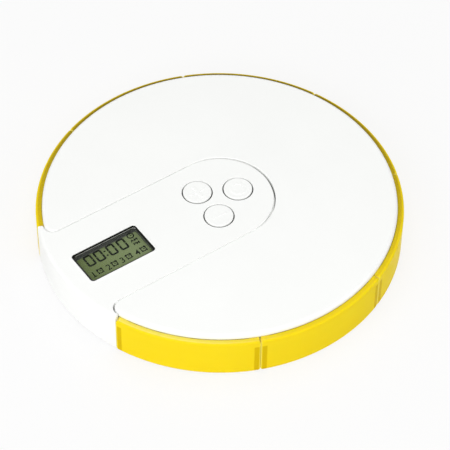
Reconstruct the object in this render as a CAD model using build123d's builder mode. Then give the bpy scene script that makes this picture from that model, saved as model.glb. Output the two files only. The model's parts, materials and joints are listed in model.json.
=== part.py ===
from build123d import *
from math import asin, cos, degrees, radians, sin, tan
import os

# Round seven-day pill box with a timer. Millimetres. +Z is up and z = 0 is the table.
# +X runs from the display across the buttons, +Y is 90 degrees to its left.
# The box has eight equal sectors: one for the timer, at 180 degrees, and seven drawers.

# Whole box: its radius and height follow further down from what it holds
foot_stand = 0.5
sector_count = 8
timer_angle = 180
seam_gap = 0.4
overrun = 1.0

# Top cover
cover_thickness = 1.6
cover_front_gap = 0.1
cover_edge_round = 1.3
slot_side_gap = 0.35
slot_end_gap = 0.7
slot_mouth_round = 3.5
guide_rib_inset = 7.7
guide_rib_thickness = 1.2
guide_gap = 0.25

# Drawers
front_thickness = 2.2
front_top_gap = 0.2
front_corner_round = 1.8
front_edge_round = 1.0
tub_drop = 3.5
tub_wall = 1.2
tub_floor = 1.2
tub_corner_round = 2.0
tub_floor_round = 1.0
tub_side_gap = 0.5
slide_gap = 0.1

# Base tray
floor_thickness = 1.6
floor_edge_gap = 0.4
partition_thickness = 1.6
partition_end_gap = 0.4
rail_height = 1.0
rail_thickness = 1.2
rail_start_gap = 0.5
keel_width = 4.0
keel_length = 7.5
keel_side_gap = 0.3
keel_back_gap = 0.3
rail_end_gap = 0.6
hub_wall = 1.2

# Timer housing
inner_corner_round = 2.5
inner_corner_share = 0.55
skirt_wall = 1.4
skirt_gap = 0.4
rim_wall_thickness = 1.8
rim_edge_round = 1.2
window_length = 26.15
window_width = 14.0
window_rim_gap = 5.225
window_shift = -0.4
window_corner_round = 1.2
lens_seat_depth = 0.6

# Display
lens_margin = 1.1
lens_thickness = 0.8
lens_side_gap = 0.2
display_depth = 3.1
glass_thickness = 2.2
glass_margin = 0.85
glass_side_gap = 0.1
frame_wall = 1.0
strip_length = 24.0
strip_thickness = 2.2
strip_inset = 0.7

# Circuit board
board_thickness = 1.2
board_edge_gap = 1.0
board_partition_gap = 0.4
board_end_gap = 2.2
component_length = 2.0
component_width = 1.25
component_height = 0.55
component_count = 5
component_pitch = 3.0
component_switch_gap = 2.6
chip_radius = 3.5
chip_height = 1.1
buzzer_radius = 4.5
buzzer_height = 4.4
buzzer_hub_gap = 2.7
buzzer_frame_gap = 2.475
buzzer_hole_radius = 0.9
buzzer_hole_depth = 1.0
crystal_radius = 1.0
crystal_length = 6.0
crystal_switch_gap = 1.75

# Buttons and their switches
button_radius = 5.3
button_hole_gap = 0.3
button_stand = 0.25
button_edge_round = 0.5
button_flange = 0.95
button_flange_thickness = 0.9
button_play = 0.1
button_stem_radius = 1.6
button_stem_length = 2.0
button_travel = 0.5
button_pair_place = -5.1
button_pair_gap = 0.5
set_button_place = 7.7
mark_height = 0.15
mark_line = 0.55
mark_length = 3.4
switch_size = 6.0
switch_height = 3.5
plunger_radius = 1.7
plunger_stand = 0.9
plunger_side_gap = 0.08
plunger_hidden_length = 0.8

# Battery, its cup, contacts and door
battery_radius = 10.0
battery_height = 3.2
battery_edge_round = 0.3
battery_side_gap = 0.2
battery_clear = 0.05
battery_door_gap = 0.1
battery_board_gap = 0.7
cup_wall = 1.2
cup_board_gap = 0.3
door_edge = 0.7
door_side_gap = 0.3
door_ring_margin = 0.6
door_ring_wall = 1.1
door_ring_height = 1.2
door_lug_reach = 2.0
door_lug_thickness = 0.8
door_lug_gap = 0.2
door_lug_angle = 24
door_lug_count = 3
door_notch_extra_angle = 6
door_turn = 60
coin_slot_length = 12.0
coin_slot_width = 2.0
coin_slot_depth = 0.9
contact_width = 4.0
contact_thickness = 0.3
contact_foot = 3.0
contact_slot_gap = 0.6
contact_reach = 7.5
contact_finger = 7.5
contact_lift = 0.4

# Screws, their bosses and posts
boss_radius = 3.2
post_radius = 2.8
post_side_gap = 0.2
post_board_gap = 0.6
boss_height = 2.6
screw_head_radius = 2.2
screw_head_height = 1.6
screw_head_side_gap = 0.3
screw_web = 1.8
screw_shank_radius = 1.25
screw_length = 7.5
screw_bore_gap = 0.05
screw_tip_gap = 0.6
recess_width = 0.6
recess_depth = 0.7
housing_screw_inset = 11.2
board_screw_head_radius = 1.6
board_screw_head_height = 1.1
board_screw_radius = 0.9
board_screw_length = 5.0
board_boss_radius = 1.45
board_boss_gap = 0.4
board_screw_cup_gap = 0.7
board_screw_rim = 1.6
board_screw_inset = 2.0

# Rubber feet
foot_radius = 4.0
foot_seat_depth = 0.5
foot_side_gap = 0.1
foot_edge_round = 0.25
foot_inset = 17.0
foot_count = 4

# Heights that follow from the values above
floor_z = foot_stand
floor_top = floor_z + floor_thickness
door_ring_top = floor_top + door_ring_height
battery_under = door_ring_top + battery_door_gap
battery_top = battery_under + battery_height
board_under = battery_top + battery_board_gap
board_top = board_under + board_thickness
switch_top = board_top + switch_height
plunger_top = switch_top + plunger_stand
flange_under = plunger_top + button_stem_length
flange_top = flange_under + button_flange_thickness
cover_under = flange_top + button_play
top_z = cover_under + cover_thickness
front_top = cover_under - front_top_gap
tub_top = front_top - tub_drop
tub_under = floor_top + rail_height + slide_gap
tub_floor_top = tub_under + tub_floor
skirt_bottom = tub_top + skirt_gap
boss_top = floor_top + boss_height
web_under = boss_top - screw_web
lip_under = cover_under + lens_seat_depth
lens_under = lip_under - lens_thickness
glass_top = top_z - display_depth
glass_under = glass_top - glass_thickness
cup_top = board_under - cup_board_gap

# Plan sizes of the hub, from the coin cell outwards
half_sector = 180 / sector_count
cup_bore = battery_radius + battery_side_gap
door_ring_radius = battery_radius + door_ring_margin
door_radius = door_ring_radius + door_edge
lug_tip_radius = door_ring_radius + door_lug_reach
cup_inner_radius = lug_tip_radius + door_side_gap
cup_radius = cup_inner_radius + cup_wall
hub_board_screw_radius = cup_radius + board_screw_head_radius + board_screw_cup_gap
board_hub_radius = hub_board_screw_radius + board_screw_rim
hub_inner_radius = board_hub_radius + board_edge_gap
hub_radius = hub_inner_radius + hub_wall
tongue_half_width = hub_inner_radius
slot_half_width = tongue_half_width + slot_side_gap
slot_end_radius = tongue_half_width + slot_end_gap
cover_screw_radius = hub_radius + post_radius + post_side_gap
tub_back_place = cover_screw_radius + post_radius

# Plan sizes of the display and the rim, from the hub outwards
lens_length = window_length + 2 * lens_margin
lens_width = window_width + 2 * lens_margin
glass_length = window_length + 2 * glass_margin
glass_width = window_width + 2 * glass_margin
frame_margin = glass_margin + glass_side_gap + frame_wall
frame_length = window_length + 2 * frame_margin
frame_width = window_width + 2 * frame_margin
buzzer_place = -hub_radius - buzzer_hub_gap
window_place = buzzer_place - buzzer_radius - buzzer_frame_gap - frame_margin - window_length / 2
window_centre = (window_place, window_shift)
rim_inner_radius = window_rim_gap + window_length / 2 - window_place
outer_radius = rim_inner_radius + rim_wall_thickness
front_inner_radius = outer_radius - front_thickness
cover_radius = front_inner_radius - cover_front_gap
floor_radius = front_inner_radius - floor_edge_gap
rim_gap_radius = cover_radius + slot_side_gap
guide_rib_radius = cover_radius - guide_rib_inset
tub_side_offset = partition_thickness / 2 + tub_side_gap
pocket_offset = tub_side_offset + tub_wall
pocket_back_place = tub_back_place + tub_wall
rail_start = tub_back_place - rail_start_gap
rail_end = floor_radius - rail_end_gap
keel_start = rail_start + rail_thickness + keel_back_gap
keel_half_gap = keel_width / 2 + keel_side_gap

# Circuit board and its fittings
board_screw_half_spacing = frame_width / 2 - window_shift + board_boss_radius + board_boss_gap
board_half_width = board_screw_half_spacing + board_screw_rim
board_end = board_end_gap - rim_inner_radius
button_pair_half_spacing = button_radius + button_flange + button_pair_gap
switch_reach = button_pair_half_spacing + switch_size / 2
crystal_place = switch_reach + crystal_switch_gap + crystal_radius
component_place = -switch_reach - component_switch_gap - component_width / 2
housing_screw_half_spacing = board_half_width + post_radius + post_board_gap
housing_screw_place = housing_screw_inset - rim_inner_radius

# Angles: the seams and drawers are counted counter-clockwise from the timer
seam_angles = [timer_angle + (2 * index + 1) * half_sector for index in range(sector_count)]
drawer_angles = [timer_angle + (2 * index + 2) * half_sector for index in range(sector_count - 1)]
timer_seam_angles = [seam_angles[0], seam_angles[-1]]
cover_seam_angles = seam_angles[1:-1]
cover_screw_angles = seam_angles[2:-2]
lug_angles = [index * 360 / door_lug_count for index in range(door_lug_count)]
notch_angle = door_lug_angle + door_notch_extra_angle
foot_angles = [(2 * index + 1) * 180 / foot_count for index in range(foot_count)]


def on_circle(radius, angle):
    return (radius * cos(radians(angle)), radius * sin(radians(angle)))


def seam_half_angle(radius, offset):
    """Half the angle of a sector at a radius, its sides set in from the seams by an offset."""
    return half_sector - degrees(asin(offset / radius))


def sector_reach(half_width, offset):
    """Distance from the middle where a sector, set in by an offset, has a half width."""
    return (half_width + offset / cos(radians(half_sector))) / tan(radians(half_sector))


hub_opening = on_circle(hub_inner_radius, seam_half_angle(hub_inner_radius, partition_thickness / 2))
board_neck_half_width = hub_opening[1] - board_partition_gap
board_wide_start = -sector_reach(board_half_width + board_partition_gap, partition_thickness / 2)
rim_corner = on_circle(rim_gap_radius, half_sector)
housing_corner_round = min(inner_corner_round, inner_corner_share * (rim_corner[1] - tongue_half_width))

cover_screw_places = [on_circle(cover_screw_radius, angle) for angle in cover_screw_angles]
housing_screw_places = [(housing_screw_place, side * housing_screw_half_spacing) for side in (1, -1)]
case_screw_places = cover_screw_places + housing_screw_places
board_screw_places = [
    on_circle(hub_board_screw_radius, timer_angle + side * 360 / sector_count) for side in (1, -1)
]
board_screw_places += [
    (board_wide_start - board_screw_inset, side * board_screw_half_spacing) for side in (1, -1)
]
button_places = {
    "hour": (button_pair_place, button_pair_half_spacing),
    "minute": (button_pair_place, -button_pair_half_spacing),
    "set": (set_button_place, 0),
}
foot_places = [on_circle(outer_radius - foot_inset, angle) for angle in foot_angles]


def level(height):
    """The horizontal plane at a height."""
    return Plane.XY.offset(height)


def turned(angle, height):
    """A horizontal plane whose X axis points along an angle."""
    return Plane((0, 0, height), x_dir=(*on_circle(1, angle), 0), z_dir=(0, 0, 1))


def ring_sector(inner_radius, radius, offset):
    """Face between two arcs, with both ends parallel to the seams."""
    inner_half = seam_half_angle(inner_radius, offset)
    outer_half = seam_half_angle(radius, offset)
    with BuildLine() as outline:
        inner_arc = CenterArc((0, 0), inner_radius, -inner_half, 2 * inner_half)
        outer_arc = CenterArc((0, 0), radius, -outer_half, 2 * outer_half)
        Line(inner_arc @ 0, outer_arc @ 0)
        Line(inner_arc @ 1, outer_arc @ 1)
    make_face(outline.edges())


def wedge(back_place, radius, offset):
    """Face of a sector from a straight back to an arc, its sides parallel to the seams."""
    outer_half = seam_half_angle(radius, offset)
    back_half = back_place * tan(radians(half_sector)) - offset / cos(radians(half_sector))
    with BuildLine() as outline:
        outer_arc = CenterArc((0, 0), radius, -outer_half, 2 * outer_half)
        Polyline(outer_arc @ 1, (back_place, back_half), (back_place, -back_half), outer_arc @ 0)
    make_face(outline.edges())


def pie(radius, centre_angle, sweep):
    """Face of a pie slice round the disc's middle."""
    with BuildLine() as outline:
        rim_arc = CenterArc((0, 0), radius, centre_angle - sweep / 2, sweep)
        Line((0, 0), rim_arc @ 0)
        Line(rim_arc @ 1, (0, 0))
    make_face(outline.edges())


def tongue(half_width, end_radius, length, mode=Mode.ADD):
    """Face of a tongue from the disc's middle towards the timer's rim, with a round end."""
    Circle(end_radius, mode=mode)
    with Locations((-length / 2, 0)):
        Rectangle(length, 2 * half_width, mode=mode)


def round_off(radius, edge_height, size, side):
    """Cut the sharp outer edge of a disc to a round; side is 1 for a top edge and -1 for a bottom edge."""
    centre = (radius - size, edge_height - side * size)
    with BuildSketch(Plane.XZ) as waste:
        with BuildLine():
            edge_arc = CenterArc(centre, size, 0, side * 90)
            Polyline(
                edge_arc @ 0,
                (radius + overrun, centre[1]),
                (radius + overrun, edge_height + side * overrun),
                (centre[0], edge_height + side * overrun),
                edge_arc @ 1,
            )
        make_face()
    revolve(waste.sketch, axis=Axis.Z, mode=Mode.SUBTRACT)


def upright(places, radius, bottom, top, mode=Mode.ADD):
    """Round posts or bores between two heights."""
    with BuildSketch(level(bottom)) as section:
        with Locations(*places):
            Circle(radius)
    extrude(section.sketch, amount=top - bottom, mode=mode)


def screws(places, seat, head_radius, head_height, shank_radius, length):
    """Screws driven upwards, their heads under the seat height, with crossed recesses."""
    upright(places, head_radius, seat - head_height, seat)
    upright(places, shank_radius, seat, seat + length)
    with BuildSketch(level(seat - head_height)) as recess:
        with Locations(*places):
            Rectangle(2 * shank_radius, recess_width)
            Rectangle(recess_width, 2 * shank_radius)
    extrude(recess.sketch, amount=recess_depth, mode=Mode.SUBTRACT)


def save(part, name):
    part.label = name
    export_step(part, f"parts/{name}.step")


os.makedirs("parts", exist_ok=True)

# Base tray: floor, partitions, hub wall, drawer channels, battery cup and screw bosses
with BuildPart() as base_tray:
    with BuildSketch(level(floor_z)):
        Circle(floor_radius)
    extrude(amount=floor_thickness)
    for angle in seam_angles:
        with BuildSketch(turned(angle, floor_top)):
            partition_start = hub_radius - hub_wall / 2
            partition_end = floor_radius - partition_end_gap
            with Locations(((partition_start + partition_end) / 2, 0)):
                Rectangle(partition_end - partition_start, partition_thickness)
        extrude(amount=tub_top - floor_top)
    with BuildSketch(level(floor_top)):
        Circle(hub_radius)
        Circle(hub_inner_radius, mode=Mode.SUBTRACT)
    extrude(amount=tub_top - floor_top)
    with BuildSketch(turned(timer_angle, floor_top)):
        ring_sector(hub_inner_radius - overrun, hub_radius + overrun, partition_thickness / 2)
    extrude(amount=tub_top - floor_top, mode=Mode.SUBTRACT)
    for angle in drawer_angles:
        with BuildSketch(turned(angle, floor_top)):
            channel_length = rail_end - rail_start
            with Locations((rail_start + channel_length / 2, 0)):
                Rectangle(channel_length, 2 * (keel_half_gap + rail_thickness))
                Rectangle(channel_length - 2 * rail_thickness, 2 * keel_half_gap, mode=Mode.SUBTRACT)
        extrude(amount=rail_height)
    with BuildSketch(level(floor_top)):
        Circle(cup_radius)
        Circle(cup_inner_radius, mode=Mode.SUBTRACT)
    extrude(amount=cup_top - floor_top)
    with BuildSketch(level(battery_under)):
        Circle(cup_radius)
        Circle(cup_bore, mode=Mode.SUBTRACT)
    extrude(amount=cup_top - battery_under)
    with BuildSketch(level(battery_under)):
        with Locations((0, cup_radius)):
            Rectangle(contact_width + 2 * contact_slot_gap, 2 * (cup_radius - battery_radius) + overrun)
    extrude(amount=cup_top - battery_under, mode=Mode.SUBTRACT)
    upright(case_screw_places, boss_radius, floor_top, boss_top)
    upright(cover_screw_places, post_radius + post_side_gap, boss_top, tub_top, Mode.SUBTRACT)
    upright([(0, 0)], door_radius + door_side_gap, floor_z, floor_top, Mode.SUBTRACT)
    for angle in lug_angles:
        with BuildSketch(level(floor_z)):
            pie(cup_inner_radius, angle + door_turn, notch_angle)
        extrude(amount=floor_thickness, mode=Mode.SUBTRACT)
    upright(foot_places, foot_radius + foot_side_gap, floor_z, floor_z + foot_seat_depth, Mode.SUBTRACT)
    upright(case_screw_places, screw_head_radius + screw_head_side_gap, floor_z, web_under, Mode.SUBTRACT)
    upright(case_screw_places, screw_shank_radius + screw_bore_gap, web_under, boss_top, Mode.SUBTRACT)
save(base_tray.part, "base_tray")

# Rubber feet: four round pads seated in the floor
with BuildPart() as rubber_feet:
    upright(foot_places, foot_radius, 0, floor_z + foot_seat_depth)
    fillet(rubber_feet.edges().group_by(Axis.Z)[0], foot_edge_round)
save(rubber_feet.part, "rubber_feet")

# Top cover: disc with the slot for the timer, ribs and screw posts underneath
with BuildPart() as top_cover:
    rib_end = floor_radius - partition_end_gap
    short_rib_start = guide_rib_radius - guide_rib_thickness / 2
    for angle in cover_seam_angles:
        with BuildSketch(turned(angle, tub_top)):
            with Locations(((cover_screw_radius + rib_end) / 2, 0)):
                Rectangle(rib_end - cover_screw_radius, partition_thickness)
        extrude(amount=cover_under - tub_top)
    for angle in timer_seam_angles:
        with BuildSketch(turned(angle, tub_top)):
            with Locations(((short_rib_start + rib_end) / 2, 0)):
                Rectangle(rib_end - short_rib_start, partition_thickness)
        extrude(amount=cover_under - tub_top)
    with BuildSketch(level(tub_top + guide_gap)):
        Circle(guide_rib_radius)
        Circle(guide_rib_radius - guide_rib_thickness, mode=Mode.SUBTRACT)
    extrude(amount=cover_under - tub_top - guide_gap)
    with BuildSketch(turned(timer_angle, tub_top)):
        ring_sector(slot_end_radius, cover_radius + overrun, partition_thickness / 2)
    extrude(amount=cover_under - tub_top, mode=Mode.SUBTRACT)
    with BuildSketch(level(tub_top)):
        tongue(slot_half_width, slot_end_radius, cover_radius + overrun)
    extrude(amount=cover_under - tub_top, mode=Mode.SUBTRACT)
    with BuildSketch(level(cover_under)) as cover_outline:
        Circle(cover_radius)
        tongue(slot_half_width, slot_end_radius, cover_radius + overrun, Mode.SUBTRACT)
        fillet(cover_outline.vertices().group_by(Axis.X)[0], slot_mouth_round)
    extrude(amount=cover_thickness)
    round_off(cover_radius, top_z, cover_edge_round, 1)
    upright(cover_screw_places, post_radius, boss_top, cover_under)
    bore_top = web_under + screw_length + screw_tip_gap
    upright(cover_screw_places, screw_shank_radius + screw_bore_gap, boss_top, bore_top, Mode.SUBTRACT)
save(top_cover.part, "top_cover")

# Timer housing: tongue and rim wall in one shell, with the window and the button holes
with BuildPart() as timer_housing:
    with BuildSketch(level(cover_under)) as housing_outline:
        tongue(tongue_half_width, tongue_half_width, outer_radius)
        with BuildSketch(turned(timer_angle, 0), mode=Mode.PRIVATE) as rim_outline:
            ring_sector(rim_gap_radius, outer_radius, seam_gap / 2)
        add(rim_outline.sketch)
        Circle(outer_radius, mode=Mode.INTERSECT)
        inner_corners = [
            corner
            for corner in housing_outline.vertices()
            if abs(abs(corner.Y) - tongue_half_width) < seam_gap and corner.X < window_place
        ]
        fillet(inner_corners, housing_corner_round)
    extrude(amount=cover_thickness)
    with BuildSketch(turned(timer_angle, floor_z)):
        ring_sector(rim_inner_radius, outer_radius, seam_gap / 2)
    extrude(amount=top_z - floor_z)
    with BuildSketch(level(skirt_bottom)):
        inner_half_width = tongue_half_width - skirt_wall
        tongue(tongue_half_width, tongue_half_width, outer_radius)
        tongue(inner_half_width, inner_half_width, outer_radius, Mode.SUBTRACT)
        Circle(outer_radius - rim_wall_thickness / 2, mode=Mode.INTERSECT)
    extrude(amount=cover_under - skirt_bottom)
    upright(housing_screw_places, post_radius, boss_top, cover_under)
    upright(board_screw_places, board_boss_radius, board_top, cover_under)
    round_off(outer_radius, top_z, rim_edge_round, 1)
    round_off(outer_radius, floor_z, rim_edge_round, -1)
    with BuildSketch(level(cover_under)):
        with Locations(window_centre):
            lens_pocket_round = window_corner_round + lens_side_gap
            RectangleRounded(
                lens_length + 2 * lens_side_gap, lens_width + 2 * lens_side_gap, lens_pocket_round
            )
    extrude(amount=lip_under - cover_under, mode=Mode.SUBTRACT)
    with BuildSketch(level(cover_under)):
        with Locations(window_centre):
            RectangleRounded(window_length, window_width, window_corner_round)
    extrude(amount=cover_thickness, mode=Mode.SUBTRACT)
    upright(button_places.values(), button_radius + button_hole_gap, cover_under, top_z, Mode.SUBTRACT)
    bore_top = web_under + screw_length + screw_tip_gap
    upright(housing_screw_places, screw_shank_radius + screw_bore_gap, boss_top, bore_top, Mode.SUBTRACT)
    board_bore_top = board_under + board_screw_length + screw_tip_gap
    upright(board_screw_places, board_screw_radius + screw_bore_gap, board_top, board_bore_top, Mode.SUBTRACT)
save(timer_housing.part, "timer_housing")

# Screws: four hold the cover, two hold the timer housing, four hold the circuit board
with BuildPart() as cover_screws:
    screws(
        cover_screw_places,
        web_under,
        screw_head_radius,
        screw_head_height,
        screw_shank_radius,
        screw_length,
    )
save(cover_screws.part, "cover_screws")

with BuildPart() as housing_screws:
    screws(
        housing_screw_places,
        web_under,
        screw_head_radius,
        screw_head_height,
        screw_shank_radius,
        screw_length,
    )
save(housing_screws.part, "housing_screws")

with BuildPart() as board_screws:
    screws(
        board_screw_places,
        board_under,
        board_screw_head_radius,
        board_screw_head_height,
        board_screw_radius,
        board_screw_length,
    )
save(board_screws.part, "board_screws")

# Display: lens under the window's lip, black frame, glass panel and two contact strips
with BuildPart() as display_lens:
    with BuildSketch(level(lens_under)):
        with Locations(window_centre):
            RectangleRounded(lens_length, lens_width, window_corner_round)
    extrude(amount=lens_thickness)
save(display_lens.part, "display_lens")

with BuildPart() as display_frame:
    with BuildSketch(level(board_top)):
        with Locations(window_centre):
            Rectangle(frame_length, frame_width)
    extrude(amount=lens_under - board_top)
    with BuildSketch(level(board_top)):
        with Locations(window_centre):
            Rectangle(glass_length + 2 * glass_side_gap, glass_width + 2 * glass_side_gap)
    extrude(amount=glass_top - board_top, mode=Mode.SUBTRACT)
    with BuildSketch(level(glass_top)):
        with Locations(window_centre):
            RectangleRounded(window_length, window_width, window_corner_round)
    extrude(amount=lens_under - glass_top, mode=Mode.SUBTRACT)
save(display_frame.part, "display_frame")

with BuildPart() as display_panel:
    with BuildSketch(level(glass_under)):
        with Locations(window_centre):
            Rectangle(glass_length, glass_width)
    extrude(amount=glass_thickness)
save(display_panel.part, "display_panel")

with BuildPart() as contact_strips:
    with BuildSketch(level(board_top)):
        strip_shift = glass_width / 2 - strip_inset - strip_thickness / 2
        with Locations(
            (window_place, window_shift + strip_shift), (window_place, window_shift - strip_shift)
        ):
            Rectangle(strip_length, strip_thickness)
    extrude(amount=glass_under - board_top)
save(contact_strips.part, "contact_strips")

# Circuit board: a round end under the buttons, a neck and a wide end under the display
with BuildPart() as circuit_board:
    with BuildSketch(level(board_under)):
        Circle(board_hub_radius)
        with Locations((board_wide_start / 2, 0)):
            Rectangle(-board_wide_start, 2 * board_neck_half_width)
        with Locations(((board_end + board_wide_start) / 2, 0)):
            Rectangle(board_wide_start - board_end, 2 * board_half_width)
    extrude(amount=board_thickness)
    upright(board_screw_places, board_screw_radius + screw_bore_gap, board_under, board_top, Mode.SUBTRACT)
save(circuit_board.part, "circuit_board")

with BuildPart() as timer_chip:
    upright([(window_place, 0)], chip_radius, board_under - chip_height, board_under)
    fillet(timer_chip.edges().group_by(Axis.Z)[0], chip_height / 2)
save(timer_chip.part, "timer_chip")

with BuildPart() as buzzer:
    buzzer_top = board_top + buzzer_height
    upright([(buzzer_place, 0)], buzzer_radius, board_top, buzzer_top)
    upright(
        [(buzzer_place, 0)], buzzer_hole_radius, buzzer_top - buzzer_hole_depth, buzzer_top, Mode.SUBTRACT
    )
save(buzzer.part, "buzzer")

with BuildPart() as crystal:
    with BuildSketch(Plane.YZ.offset(-crystal_length / 2)):
        with Locations((crystal_place, board_top + crystal_radius)):
            Circle(crystal_radius)
    extrude(amount=crystal_length)
save(crystal.part, "crystal")

with BuildPart() as board_components:
    with BuildSketch(level(board_top)):
        with Locations((0, component_place)):
            with GridLocations(component_pitch, 0, component_count, 1):
                Rectangle(component_length, component_width)
    extrude(amount=component_height)
save(board_components.part, "board_components")

# Switches on the board, one under each button, with their own plungers
with BuildPart() as tact_switches:
    with BuildSketch(level(board_top)):
        with Locations(*button_places.values()):
            Rectangle(switch_size, switch_size)
    extrude(amount=switch_height)
    well_bottom = switch_top - plunger_hidden_length - button_travel - slide_gap
    upright(button_places.values(), plunger_radius + plunger_side_gap, well_bottom, switch_top, Mode.SUBTRACT)
save(tact_switches.part, "tact_switches")

for name, place in button_places.items():
    with BuildPart() as plunger:
        upright([place], plunger_radius, switch_top - plunger_hidden_length, plunger_top)
    save(plunger.part, f"{name}_plunger")

# Buttons: a cap through the housing, a flange under it and a stem down to the switch
for name, place in button_places.items():
    with BuildPart() as button:
        cap_top = top_z + button_stand
        upright([place], button_radius, flange_top, cap_top)
        fillet(button.edges().group_by(Axis.Z)[-1], button_edge_round)
        upright([place], button_radius + button_flange, flange_under, flange_top)
        upright([place], button_stem_radius, plunger_top, flange_under)
        with BuildSketch(level(cap_top)):
            with Locations(place):
                if name == "set":
                    Circle(mark_length / 2)
                    Circle(mark_length / 2 - mark_line, mode=Mode.SUBTRACT)
                else:
                    Rectangle(mark_length, mark_line)
                if name == "hour":
                    Rectangle(mark_line, mark_length)
        extrude(amount=mark_height)
    save(button.part, f"{name}_button")

# Battery: a coin cell in the cup, its two contacts and the bayonet door under it
with BuildPart() as battery:
    upright([(0, 0)], battery_radius, battery_under, battery_top)
    fillet(battery.edges(), battery_edge_round)
save(battery.part, "battery")

with BuildPart() as battery_contact_positive:
    side_place = battery_radius + battery_clear
    with BuildSketch(Plane.YZ.offset(-contact_width / 2)):
        with BuildLine():
            Polyline(
                (side_place, battery_under + contact_lift),
                (side_place, board_under),
                (side_place + contact_foot, board_under),
                (side_place + contact_foot, board_under - contact_thickness),
                (side_place + contact_thickness, board_under - contact_thickness),
                (side_place + contact_thickness, battery_under + contact_lift),
                close=True,
            )
        make_face()
    extrude(amount=contact_width)
save(battery_contact_positive.part, "battery_contact_positive")

with BuildPart() as battery_contact_negative:
    finger_under = battery_top + battery_clear
    bend_place = contact_reach - contact_foot
    with BuildSketch(Plane.XZ.offset(-contact_width / 2)):
        with BuildLine():
            Polyline(
                (contact_reach, board_under),
                (bend_place, board_under),
                (bend_place, finger_under + contact_thickness),
                (bend_place - contact_finger, finger_under + contact_thickness),
                (bend_place - contact_finger, finger_under),
                (bend_place + contact_thickness, finger_under),
                (bend_place + contact_thickness, board_under - contact_thickness),
                (contact_reach, board_under - contact_thickness),
                close=True,
            )
        make_face()
    extrude(amount=contact_width)
save(battery_contact_negative.part, "battery_contact_negative")

with BuildPart() as battery_door:
    upright([(0, 0)], door_radius, floor_z, floor_top)
    upright([(0, 0)], door_ring_radius, floor_top, door_ring_top)
    lug_under = floor_top + door_lug_gap
    for angle in lug_angles:
        with BuildSketch(level(lug_under)):
            pie(lug_tip_radius, angle, door_lug_angle)
        extrude(amount=door_lug_thickness)
    upright([(0, 0)], door_ring_radius - door_ring_wall, floor_top, door_ring_top, Mode.SUBTRACT)
    with BuildSketch(level(floor_z)):
        Rectangle(coin_slot_length, coin_slot_width)
    extrude(amount=coin_slot_depth, mode=Mode.SUBTRACT)
save(battery_door.part, "battery_door")

# Drawers: a wedge-shaped tub behind a curved front, with a keel that runs in the base's channel
with BuildPart() as pocket:
    with BuildSketch(level(tub_floor_top)):
        wedge(pocket_back_place, front_inner_radius, pocket_offset)
    extrude(amount=top_z - tub_floor_top)
    fillet(pocket.edges().filter_by(Axis.Z), tub_corner_round)
    fillet(pocket.edges().group_by(Axis.Z)[0], tub_floor_round)

with BuildPart() as drawer:
    with BuildSketch(level(floor_z)):
        ring_sector(front_inner_radius, outer_radius, seam_gap / 2)
    extrude(amount=front_top - floor_z)
    end_edges = drawer.edges().filter_by(GeomType.LINE).filter_by(Axis.Z, reverse=True)
    fillet(end_edges, front_corner_round)
    fillet(drawer.faces().sort_by(SortBy.AREA)[-1].edges(), front_edge_round)
    with BuildSketch(level(tub_under)):
        wedge(tub_back_place, outer_radius - front_thickness / 2, tub_side_offset)
    extrude(amount=tub_top - tub_under)
    add(pocket.part, mode=Mode.SUBTRACT)
    with BuildSketch(level(floor_top + slide_gap)):
        with Locations((keel_start + keel_length / 2, 0)):
            Rectangle(keel_length, keel_width)
    extrude(amount=tub_under - floor_top - slide_gap)

for number, angle in enumerate(drawer_angles, 1):
    with BuildPart() as placed_drawer:
        with Locations(Rotation(0, 0, angle)):
            add(drawer.part)
    save(placed_drawer.part, f"drawer_{number}")
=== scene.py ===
"""A round seven-day pill box with a timer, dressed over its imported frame."""
import json
from math import asin, atan2, cos, degrees, hypot, radians, sin, sqrt, tan

import bmesh
import bpy
from bpy.props import FloatProperty, FloatVectorProperty, PointerProperty
from bpy.types import Operator, Panel, PropertyGroup
from mathutils import Matrix, Vector


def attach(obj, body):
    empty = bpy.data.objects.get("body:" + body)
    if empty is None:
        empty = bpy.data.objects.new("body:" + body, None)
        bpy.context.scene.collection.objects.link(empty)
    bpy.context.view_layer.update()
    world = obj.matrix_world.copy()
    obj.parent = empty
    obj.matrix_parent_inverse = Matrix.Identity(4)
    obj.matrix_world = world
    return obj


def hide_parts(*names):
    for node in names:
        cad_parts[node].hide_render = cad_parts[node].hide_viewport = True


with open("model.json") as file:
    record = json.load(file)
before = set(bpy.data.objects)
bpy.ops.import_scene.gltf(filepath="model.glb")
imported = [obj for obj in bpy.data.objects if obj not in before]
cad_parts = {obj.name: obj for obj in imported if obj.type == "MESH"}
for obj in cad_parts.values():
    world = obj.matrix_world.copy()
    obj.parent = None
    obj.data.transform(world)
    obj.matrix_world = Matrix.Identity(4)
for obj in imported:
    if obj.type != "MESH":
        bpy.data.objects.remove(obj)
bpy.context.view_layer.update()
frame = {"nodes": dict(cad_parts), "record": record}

bl_info = {
    "name": "Pill Box",
    "version": (1, 0, 0),
    "blender": (4, 5, 0),
    "location": "3D View > Sidebar > Pill Box",
    "description": "Builds a round pill box with a timer and seven drawers",
    "category": "Add Mesh",
}

# Meshes are drawn in millimetres and brought to metres when they are finished
MM = 0.001
SECTOR = 45.0
HALF_SECTOR = SECTOR / 2
DRAWER_ANGLES = [225, 270, 315, 0, 45, 90, 135]
BUTTON_PLACES = {"hour": (-5.1, 6.75), "minute": (-5.1, -6.75), "set": (7.7, 0)}
# Posts for the large and the small screws: radius of the bore, radius, height of the low end, height of the bore's end
LARGE_POST = 1.3, 2.8, 4.7, 11.0
SMALL_POST = 0.95, 1.45, 8.5, 12.9
POST_CIRCLE = 23.2
ARC_STEP = 1.5
SMOOTH_ANGLE = 35
# How far pieces reach into each other where they are joined; also the finest step that tests of places tell apart
OVERLAP = 0.15
WHITE = (1, 1, 1, 1)


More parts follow.
